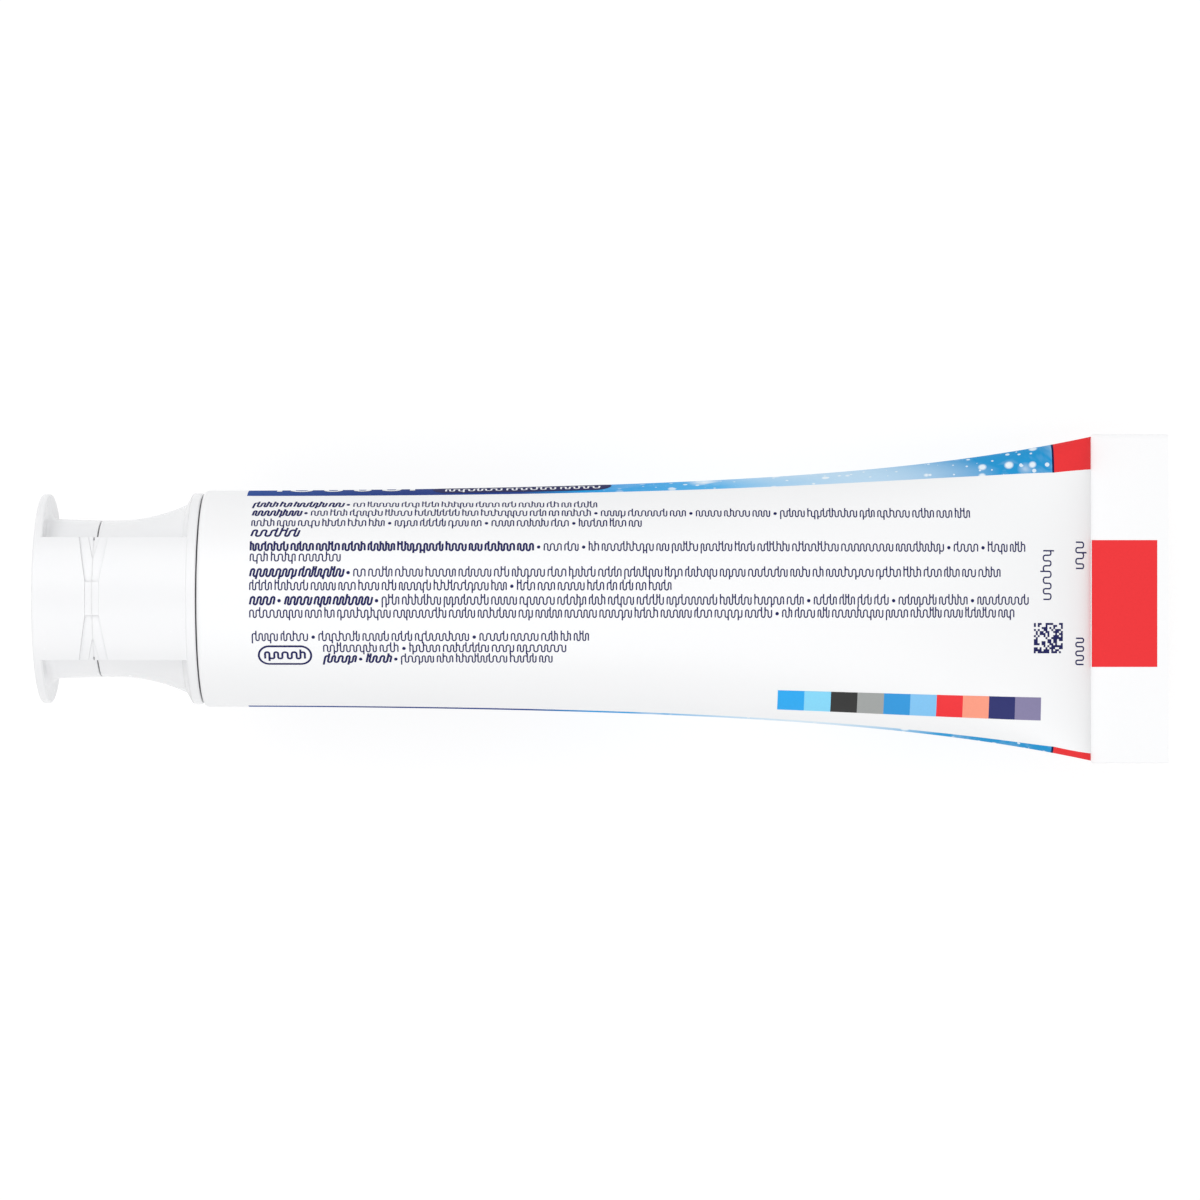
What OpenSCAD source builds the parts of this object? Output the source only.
// A laminate toothpaste tube with a flip-top stand-up cap, lying on its front with its back label up.
// +X runs from the cap to the crimped tail and +Z points up from the surface that the tube lies on.
// All sizes are in millimetres. The origin is on that surface, under the middle of the tube's length.

/* [Sleeve] */
// Outer diameter of the sleeve at its round end
tube_d = 32; // [30:0.5:38]
// Length of the sleeve from its front rim to the crimp
sleeve_l = 131.8; // [100:0.1:170]
// Thickness of the laminate
film_t = 0.3; // [0.2:0.02:0.4]
// Outer radius of the rim where the sleeve turns over the shoulder
rim_r = 0.75; // [0.6:0.05:1.2]
// Width of the lip that laps the shoulder's front face
lip_w = 0.8; // [0.4:0.1:1.2]
// Power of the length by which the sleeve widens early on
early_power = 2; // [1.8:0.1:2.6]
// Power of the length by which it widens near its tail
late_power = 5; // [4:0.5:7]
// Power of the length by which the sleeve thins towards its tail
thin_power = 3; // [2.4:0.1:3.6]
// Power that sets how blunt the sleeve's side view is near the crimp
blunt_power = 0.6; // [0.5:0.02:0.8]
// Drop of the soft tail below the axis of the round end
tail_drop = 6; // [5:0.5:8]

/* [Crimp] */
// Length of the flat sealed fin
crimp_l = 11.65; // [8:0.05:16]
// Width that the two folded edges take from half the sleeve's girth
fold_loss = 1.1; // [0:0.1:3]
// How far each end of the fin stands out past the sleeve beside it
fin_step = 0.38; // [0:0.02:0.6]
// Length over which the fin reaches its width
fin_ramp = 0.3; // [0.2:0.05:0.6]

/* [Shoulder and neck] */
// Gap left for the weld between the sleeve and the shoulder
weld_gap = 0.04; // [0.03:0.01:0.08]
// Wall of the shoulder
shoulder_t = 1; // [0.8:0.1:1.4]
// Length of the shoulder's skirt inside the sleeve
skirt_l = 4; // [2.5:0.1:6]
// Angle of the shoulder's cone from flat
shoulder_slope = 26; // [15:1:30]
// Outer radius of the neck
neck_r = 6.9; // [6:0.1:7.2]
// Wall of the neck
neck_t = 1.3; // [1:0.1:1.6]
// How far the snap bead stands out from the neck
bead_h = 0.5; // [0.3:0.05:0.7]
// Length of the snap bead along the neck
bead_l = 1.1; // [0.8:0.1:1.6]
// Distance from the neck's mouth to the bead
bead_inset = 1; // [0.6:0.1:2]
// Gap between the cone and the hole in the sleeve's lip
lip_gap = 0.2; // [0.1:0.05:0.4]
// Gap between the neck's mouth and the deck of the cap
mouth_gap = 0.1; // [0.05:0.01:0.2]

/* [Contents] */
// Share of the sleeve's length that the paste reaches
fill_share = 0.72; // [0.5:0.01:0.9]
// Gap between the paste and the walls that hold it
paste_gap = 0.05; // [0.04:0.01:0.1]

/* [Cap] */
// Length of the lid from the face it stands on to the parting line
lid_h = 8.8; // [7:0.1:12]
// Length of the base from the parting line to the face beside the tube
base_h = 14.97; // [13:0.01:18]
// Gap between the cap and the front of the sleeve
seat_gap = 0.2; // [0.15:0.05:0.5]
// Gap of the parting line between the lid and the base
split_gap = 0.2; // [0.1:0.02:0.3]
// Wall of the lid and the base
cap_t = 1.2; // [1:0.05:1.5]
// How far the panels and the flange stay inside the ring
panel_step = 0.12; // [0:0.02:0.6]
// Thickness of the flange
flange_t = 1.3; // [1:0.1:1.8]
// Rounding of the flange's two edges
flange_edge_r = 0.38; // [0.2:0.02:0.45]
// Radius of the fillet between the flange and the waist
fillet_r = 1.2; // [0.6:0.1:2]
// Depth of the waist below the panels and the flange
waist_depth = 3.91; // [3:0.01:4.2]
// How much wider the lid's waist is beside the flange
lid_draft = 0.21; // [0:0.01:0.5]
// How far the ring at the foot of the base stays inside the sleeve's outside
ring_step = 0.4; // [0.1:0.05:1]
// Thickness of that ring
ring_t = 1.43; // [1:0.01:2]
// Length of the straight waist before the base starts to flare
flare_from = 2; // [1.6:0.1:3]
// Length of the cone between the flare and the ring
foot_l = 0.85; // [0.7:0.05:1.2]
// Rise of that cone
foot_rise = 1.5; // [0.8:0.1:1.8]
// Rounding of the ring's and the spout's edges
edge_r = 0.15; // [0.05:0.01:0.2]
// Width of the flush panels on the front and the back
panel_w = 17.96; // [16:0.02:20]

/* [Spout] */
// Thickness of the base's deck
deck_t = 1.4; // [1.2:0.1:2]
// Diameter of the orifice
orifice_d = 5; // [4:0.1:5.6]
// Wall of the raised spout round the orifice
spout_t = 1.5; // [1:0.1:2]
// Height of the spout above the parting line
spout_h = 1.2; // [0.6:0.1:1.6]
// Height of the rim that locates the lid on the deck
locator_h = 0.8; // [0.5:0.1:1]
// Width of that rim
locator_w = 1; // [0.8:0.1:1.4]
// Clearance between the locating rim and the lid
locator_gap = 0.16; // [0.12:0.01:0.3]
// Clearance round the root of the lid's sealing plug
plug_gap = 0.1; // [0.08:0.01:0.15]
// How far the plug reaches past the parting line
plug_depth = 2; // [1.4:0.1:2.2]
// How much the plug's radius shrinks from the parting line to its tip
plug_taper = 0.5; // [0.4:0.05:0.7]
// Wall of the hollow plug
plug_t = 0.9; // [0.6:0.1:1.1]
// Wall of the collar that snaps over the neck
collar_t = 1.1; // [0.8:0.1:1.6]
// Thickness of the ribs that brace the collar against the base's wall
rib_t = 0.8; // [0.6:0.1:1.2]
// Length of those ribs below the deck
rib_l = 6; // [3:0.1:8]
// Clearance between the collar and the neck's bead
collar_gap = 0.1; // [0.06:0.02:0.2]
// Clearance between the collar's lip and the neck
snap_gap = 0.15; // [0.08:0.01:0.2]
// Gap between the end of the collar and the shoulder's cone
collar_seat_gap = 0.3; // [0.2:0.05:0.6]

/* [Hinge] */
// Size along the tube of the strap in the middle of the living hinge
strap_l = 2; // [1.6:0.1:2.6]
// Width of that strap
strap_w = 4.9; // [4:0.1:6]
// Depth of the strap below the panel
strap_depth = 0.12; // [0.08:0.01:0.2]
// Thickness of the hinge's film where it bends
hinge_film_t = 0.35; // [0.25:0.05:0.5]
// Length by which the film is rooted in the walls that it joins
film_root = 0.3; // [0.2:0.05:0.5]
// Size along the tube of the butterfly recess at the panel's edge
wing_l = 4.2; // [3.4:0.1:5]
// Depth of the butterfly recess
wing_depth = 0.5; // [0.3:0.05:0.6]
// Size along the tube of the notch between the wings at the panel's edge
notch_l = 1.4; // [0.8:0.1:1.6]
// Depth of that notch
notch_depth = 0.65; // [0.6:0.01:0.7]
// Width of that notch across the panel
notch_w = 3; // [2.4:0.1:4]
// Width of the open slit between the film and the panel's edge
slit_w = 0.5; // [0.3:0.05:1]

/* [Thumb recess] */
// Width of the thumb recess in the front panel
thumb_w = 9; // [7:0.1:12]
// Depth of the thumb recess
thumb_depth = 0.6; // [0.3:0.05:0.7]
// Length of the thumb recess along the tube
thumb_l = 3.6; // [2.4:0.1:5]

/* [Hidden] */
$fn = 96;

// Points round each section of the sleeve and the paste
section_points = 64;
// Points on each quarter round of the sleeve's rim, and of a turned outline
rim_steps = 6;
arc_steps = 10;
// Directions of the ribs round the collar, each with one opposite
rib_angles = [0, 45, 135];
// A cut runs this far past the face that it opens
over = 1;

tube_r = tube_d / 2;
ring_r = tube_r - ring_step;
flange_r = ring_r - panel_step;
waist_r = flange_r - waist_depth;
total_l = lid_h + base_h + seat_gap + sleeve_l + crimp_l;
crimp_w = PI * tube_d / 2 - fold_loss;
// The front rim of the sleeve, and the parting line of the cap, where the hinge bends
front_x = lid_h + base_h + seat_gap - total_l / 2;
parting_x = lid_h - total_l / 2;
// The round end rests on the floor
axis_z = tube_r;

// Sleeve. A place along it is t, from 0 at its front rim to 1 at the crimp.
lip_r = tube_r - rim_r - lip_w;
// Near the crimp the round section turns into a flat strip, from this place on and by this share
squaring_from = 0.86;
squaring = 0.94;
function flare(t) = (pow(t, early_power) + pow(t, late_power)) / 2;
function half_width(t) = tube_r + (crimp_w / 2 - fin_step - tube_r) * flare(t);
function half_height(t) = film_t + (tube_r - film_t) * pow(1 - pow(t, thin_power), blunt_power);
function middle_z(t) = axis_z - tail_drop * t * t;
// Power of the section's round: 1 is an ellipse, and near 0 it is a flat strip with folded edges
function roundness(t) =
    1 - squaring * pow(max(0, (t - squaring_from) / (1 - squaring_from)), 2);

// A section is [x, half width, half height, height of its middle, roundness, floor level]
function sleeve_section(t, inset) = [
    t * sleeve_l, half_width(t) - inset, half_height(t) - inset, middle_z(t), roundness(t), inset
];
function round_section(x, r) = [x, r, r, axis_z, 1, 0];

function section_ring(s) = [
    for (i = [0 : section_points - 1])
        let (
            angle = 360 * i / section_points,
            rise = sign(sin(angle)) * pow(abs(sin(angle)), s[4])
        )
        [s[0], s[1] * cos(angle), max(s[5], s[3] + s[2] * rise)]
];

// A closed skin over a chain of sections
module loft(sections) {
    n = section_points;
    last = len(sections) - 1;
    points = [for (s = sections) each section_ring(s)];
    walls = [
        for (k = [0 : last - 1], i = [0 : n - 1])
            let (a = k * n + i, b = k * n + (i + 1) % n)
            each [[a, b, b + n], [a, b + n, a + n]]
    ];
    first_cap = [for (i = [n - 1 : -1 : 0]) i];
    last_cap = [for (i = [0 : n - 1]) last * n + i];
    polyhedron(points, concat([first_cap], walls, [last_cap]));
}

// Places along the sleeve, closer together where it thins quickly
outer_steps = [0.04, 0.12, 0.2, 0.28, 0.36, 0.44, 0.52, 0.59, 0.66, 0.72, 0.78,
    0.83, 0.87, 0.905, 0.935, 0.96, 0.98, 0.993, 1];
inner_end = 0.985;
// Two places are at least this share of the sleeve's length apart where a list of them ends
least_step = 0.02;
inner_steps = [for (t = outer_steps) if (t < inner_end - least_step) t];
function reversed(list) = [for (i = [len(list) - 1 : -1 : 0]) list[i]];

// Quarter round of the sleeve's rim, from its front face to its side, for a skin of radius r
function rim_arc(r) = [
    for (k = [0 : rim_steps])
        let (angle = 90 * k / rim_steps)
        round_section(rim_r - r * cos(angle), tube_r - rim_r + r * sin(angle))
];

module tube_sleeve() {
    inside = [for (t = inner_steps) sleeve_section(t, film_t)];
    outside = [for (t = outer_steps) sleeve_section(t, 0)];
    fin = [
        for (x = [fin_ramp, crimp_l])
            let (s = sleeve_section(1, 0))
            [sleeve_l + x, crimp_w / 2, s[2], s[3], s[4], s[5]]
    ];
    color("white")
    translate([front_x, 0, 0])
    loft(concat(
        [sleeve_section(inner_end, film_t)],
        reversed(inside),
        reversed(rim_arc(rim_r - film_t)),
        [round_section(film_t, lip_r), round_section(0, lip_r)],
        rim_arc(rim_r),
        outside,
        fin
    ));
}

// Turns an outline of [radius, distance along the tube] about the tube's axis, from the place x
module turned(x, outline) {
    translate([x, 0, axis_z]) rotate([0, 90, 0]) rotate_extrude() polygon(outline);
}

// Shoulder. Distances run from the sleeve's front rim, and the neck points to minus.
deck_under_x = deck_t - base_h - seat_gap;
neck_tip_x = deck_under_x + mouth_gap;
shoulder_x = film_t + weld_gap;
skirt_r = tube_r - film_t - weld_gap;
cone_r = lip_r - lip_gap;
bead_x = neck_tip_x + bead_inset;
// The cone's outer face at radius r
function cone_x(r) = shoulder_x - (cone_r - r) * tan(shoulder_slope);
cone_t = shoulder_t / cos(shoulder_slope);
bore_r = neck_r - neck_t;

module tube_shoulder() {
    bead_ramp = bead_l / 3;
    round_r = rim_r - shoulder_x;
    outline = concat(
        [
            [bore_r, neck_tip_x],
            [neck_r, neck_tip_x],
            [neck_r, bead_x],
            [neck_r + bead_h, bead_x + bead_ramp],
            [neck_r + bead_h, bead_x + 2 * bead_ramp],
            [neck_r, bead_x + bead_l],
            [neck_r, cone_x(neck_r)],
            [cone_r, shoulder_x]
        ],
        [
            for (k = [0 : arc_steps])
                let (angle = 90 * k / arc_steps)
                [tube_r - rim_r + round_r * sin(angle), rim_r - round_r * cos(angle)]
        ],
        [
            [skirt_r, skirt_l],
            [skirt_r - shoulder_t, skirt_l],
            [skirt_r - shoulder_t, shoulder_x + cone_t],
            [cone_r, shoulder_x + cone_t],
            [bore_r, cone_x(bore_r) + cone_t]
        ]
    );
    color("whitesmoke") turned(front_x, outline);
}

module toothpaste() {
    inset = film_t + paste_gap;
    body_from = skirt_l + paste_gap;
    ends = [body_from / sleeve_l, fill_share];
    between = [for (t = outer_steps) if (t > ends[0] + least_step && t < ends[1] - least_step) t];
    plug_end_x = plug_depth - base_h - seat_gap + paste_gap;
    under_cone_x = shoulder_x + cone_t + 2 * paste_gap;
    // Each place where the paste changes width, as [distance from the sleeve's front rim, radius]
    head = [
        [plug_end_x, orifice_d / 2 - paste_gap],
        [deck_under_x + paste_gap, orifice_d / 2 - paste_gap],
        [deck_under_x + paste_gap, bore_r - paste_gap],
        [cone_x(bore_r) + cone_t + paste_gap, bore_r - paste_gap],
        [under_cone_x, cone_r],
        [under_cone_x, skirt_r - shoulder_t - paste_gap],
        [body_from, skirt_r - shoulder_t - paste_gap]
    ];
    color("aliceblue")
    translate([front_x, 0, 0])
    loft(concat(
        [for (p = head) round_section(p[0], p[1])],
        [for (t = concat([ends[0]], between, [ends[1]])) sleeve_section(t, inset)]
    ));
}

// Cap. Distances run from the parting line: the lid lies to minus and the base to plus.
flare_to = base_h - ring_t;
// The base flares on an arc, whose centre lies outside the cap at the place where the flare starts
flare_l = flare_to - foot_l - flare_from;
flare_rise = waist_depth - foot_rise;
flare_r = (pow(flare_l, 2) + pow(flare_rise, 2)) / (2 * flare_rise);
flare_angle = asin(flare_l / flare_r);

// A box across the whole cap, from a to b along the tube
module panel_slab(a, b, w) {
    translate([parting_x + a, -w / 2, axis_z - tube_r - over]) cube([b - a, w, 2 * (tube_r + over)]);
}

// The two flush panels, as a disc of radius r that is cut to the width w
module panels(a, b, r, w) {
    intersection() {
        turned(parting_x, [[0, a], [r, a], [r, b], [0, b]]);
        panel_slab(a - over, b + over, w);
    }
}

// The base's round body up to the ring, drawn in by inset, with the radius foot_r beside the ring
module flared(inset, foot_r) {
    centre_r = waist_r + flare_r;
    arc_r = flare_r + inset;
    end_r = centre_r - arc_r * cos(flare_angle);
    end_x = flare_from + arc_r * sin(flare_angle);
    turned(parting_x, [[0, 0], [waist_r - inset, 0], [waist_r - inset, flare_from], [0, flare_from]]);
    difference() {
        turned(parting_x, [[0, flare_from], [waist_r - inset, flare_from], [end_r, end_x], [0, end_x]]);
        translate([parting_x + flare_from, 0, axis_z])
        rotate([0, 90, 0])
        rotate_extrude()
        translate([centre_r, 0])
        circle(arc_r);
    }
    turned(parting_x, [[0, end_x], [end_r, end_x], [foot_r, flare_to], [0, flare_to]]);
}

module base_outside() {
    intersection() {
        flared(0, flange_r);
        panel_slab(split_gap / 2, base_h, tube_d);
    }
    turned(parting_x, [
        [0, flare_to],
        [ring_r - edge_r, flare_to],
        [ring_r, flare_to + edge_r],
        [ring_r, base_h - edge_r],
        [ring_r - edge_r, base_h],
        [0, base_h]
    ]);
    panels(split_gap / 2, flare_to + edge_r, flange_r, panel_w);
}

module base_inside() {
    inner_r = ring_r - cap_t;
    intersection() {
        flared(cap_t, inner_r);
        panel_slab(deck_t, base_h, tube_d);
    }
    turned(parting_x, [[0, flare_to], [inner_r, flare_to], [inner_r, base_h + over], [0, base_h + over]]);
    panels(deck_t, base_h + over, flange_r - cap_t, panel_w - 2 * cap_t);
}

// The collar that snaps over the neck, and its lip behind the bead
collar_r = neck_r + bead_h + collar_gap;
collar_end = base_h + seat_gap + cone_x(collar_r) - collar_seat_gap;
module collar() {
    behind = base_h + seat_gap + bead_x + bead_l + collar_gap;
    lip_r = neck_r + snap_gap;
    rise = collar_r - lip_r;
    turned(parting_x, [
        [collar_r, deck_t / 2],
        [collar_r + collar_t, deck_t / 2],
        [collar_r + collar_t, collar_end],
        [collar_r, collar_end],
        [collar_r, behind + 3 * rise],
        [lip_r, behind + 2 * rise],
        [lip_r, behind + rise],
        [collar_r, behind]
    ]);
}

// Ribs under the deck, from the collar to the wall
module ribs() {
    foot = deck_t + rib_l;
    from_r = collar_r + collar_t / 2;
    intersection() {
        flared(cap_t / 2, ring_r - cap_t / 2);
        turned(parting_x, [[from_r, deck_t / 2], [tube_r, deck_t / 2], [tube_r, foot], [from_r, foot]]);
        for (angle = rib_angles)
            translate([parting_x, 0, axis_z])
            rotate([angle, 0, 0])
            translate([0, -tube_r, -rib_t / 2])
            cube([base_h, tube_d, rib_t]);
    }
}

// The raised spout and the low rim that locates the lid
module spout() {
    r = orifice_d / 2 + spout_t;
    turned(parting_x, [[0, -spout_h], [r - edge_r, -spout_h], [r, edge_r - spout_h], [r, deck_t], [0, deck_t]]);
}

module locator() {
    r = waist_r - cap_t - locator_gap;
    turned(parting_x, [
        [r - locator_w, deck_t / 2],
        [r, deck_t / 2],
        [r, edge_r - locator_h],
        [r - edge_r, -locator_h],
        [r - locator_w, -locator_h]
    ]);
}

module orifice() {
    r = orifice_d / 2;
    turned(parting_x, [[0, -spout_h - over], [r, -spout_h - over], [r, deck_t + over], [0, deck_t + over]]);
}

// Cuts an outline of [distance from the parting line, y] into the back panel, to a depth that follows
// its round face. side is 1 on the base and -1 on the lid.
module back_cut(side, depth, outline) {
    difference() {
        translate([parting_x, 0, axis_z + flange_r / 2])
        linear_extrude(flange_r)
        polygon([for (p = outline) [side * p[0], p[1]]]);
        turned(parting_x, [
            [0, -lid_h - over],
            [flange_r - depth, -lid_h - over],
            [flange_r - depth, base_h + over],
            [0, base_h + over]
        ]);
    }
}

// The recesses of the butterfly hinge on one side of the parting line
module hinge_recesses(side) {
    edge_y = panel_w / 2 + over;
    spread = (edge_y - strap_w / 2) / (panel_w / 2 - strap_w / 2);
    wing_end = strap_l / 2 + (wing_l - strap_l) / 2 * spread;
    notch_from = panel_w / 2 - notch_w;
    notch_end = notch_l / 2 * (notch_w + over) / notch_w;
    back_cut(side, strap_depth, [
        [-over, -strap_w / 2], [strap_l / 2, -strap_w / 2], [strap_l / 2, strap_w / 2], [-over, strap_w / 2]
    ]);
    for (way = [-1, 1]) {
        back_cut(side, wing_depth, [
            [-over, way * strap_w / 2],
            [strap_l / 2, way * strap_w / 2],
            [wing_end, way * edge_y],
            [-over, way * edge_y]
        ]);
        back_cut(side, notch_depth, [
            [-over, way * notch_from],
            [split_gap / 2, way * notch_from],
            [split_gap / 2 + notch_end, way * edge_y],
            [-over, way * edge_y]
        ]);
    }
}

// Half of the film that joins the lid to the base, from the parting line to the part that carries it
module hinge_film(side) {
    reach = split_gap / 2 + film_root;
    film_w = panel_w - 2 * slit_w;
    notch_y = panel_w / 2 - notch_w;
    difference() {
        intersection() {
            panels(-reach, reach, flange_r - strap_depth, film_w);
            translate([parting_x + (side < 0 ? -reach : 0), -film_w / 2, axis_z + flange_r / 2])
            cube([reach, film_w, flange_r]);
        }
        panels(-reach - over, reach + over, flange_r - wing_depth - hinge_film_t, panel_w);
        for (way = [-1, 1], cut = [[wing_depth, strap_w / 2], [notch_depth, notch_y]])
            back_cut(side, cut[0], [
                [-over, way * cut[1]],
                [reach + over, way * cut[1]],
                [reach + over, way * panel_w],
                [-over, way * panel_w]
            ]);
    }
}

// A scoop in the front panel, just past the parting line, from which a thumb lifts the lid
module thumb_recess() {
    scoop_r = (pow(thumb_l, 2) + pow(thumb_depth, 2)) / (2 * thumb_depth);
    translate([parting_x, -thumb_w / 2, axis_z - flange_r + thumb_depth - scoop_r])
    rotate([-90, 0, 0])
    cylinder(h = thumb_w, r = scoop_r);
}

module cap_base() {
    color("white")
    difference() {
        union() {
            difference() {
                base_outside();
                base_inside();
                hinge_recesses(1);
                thumb_recess();
            }
            collar();
            ribs();
            spout();
            locator();
            hinge_film(1);
        }
        orifice();
    }
}

module lid_outside() {
    top = -lid_h;
    under = top + flange_t;
    foot_r = waist_r + lid_draft;
    turned(parting_x, concat(
        [[0, top]],
        [
            for (k = [0 : arc_steps])
                let (angle = 90 * k / arc_steps)
                [flange_r - flange_edge_r * (1 - sin(angle)), top + flange_edge_r * (1 - cos(angle))]
        ],
        [
            for (k = [0 : arc_steps])
                let (angle = 90 * k / arc_steps)
                [flange_r - flange_edge_r * (1 - cos(angle)), under - flange_edge_r * (1 - sin(angle))]
        ],
        [
            for (k = [0 : arc_steps])
                let (angle = 90 * k / arc_steps)
                [foot_r + fillet_r * (1 - sin(angle)), under + fillet_r * (1 - cos(angle))]
        ],
        [[waist_r, -split_gap / 2], [0, -split_gap / 2]]
    ));
    panels(top + flange_edge_r, -split_gap / 2, flange_r, panel_w);
}

module lid_inside() {
    floor_x = cap_t - lid_h;
    turned(parting_x, [[0, floor_x], [waist_r - cap_t, floor_x], [waist_r - cap_t, over], [0, over]]);
    panels(floor_x, over, flange_r - cap_t, panel_w - 2 * cap_t);
}

module plug() {
    root_x = cap_t / 2 - lid_h;
    root_r = orifice_d / 2 - plug_gap;
    tip_r = root_r - plug_taper;
    hollow_r = tip_r - plug_t;
    turned(parting_x, [
        [hollow_r, root_x],
        [root_r, root_x],
        [root_r, -spout_h],
        [tip_r, plug_depth],
        [hollow_r, plug_depth]
    ]);
}

module cap_lid() {
    color("white") {
        difference() {
            lid_outside();
            lid_inside();
            hinge_recesses(-1);
        }
        plug();
        hinge_film(-1);
    }
}

tube_sleeve();
tube_shoulder();
toothpaste();
cap_base();
cap_lid();
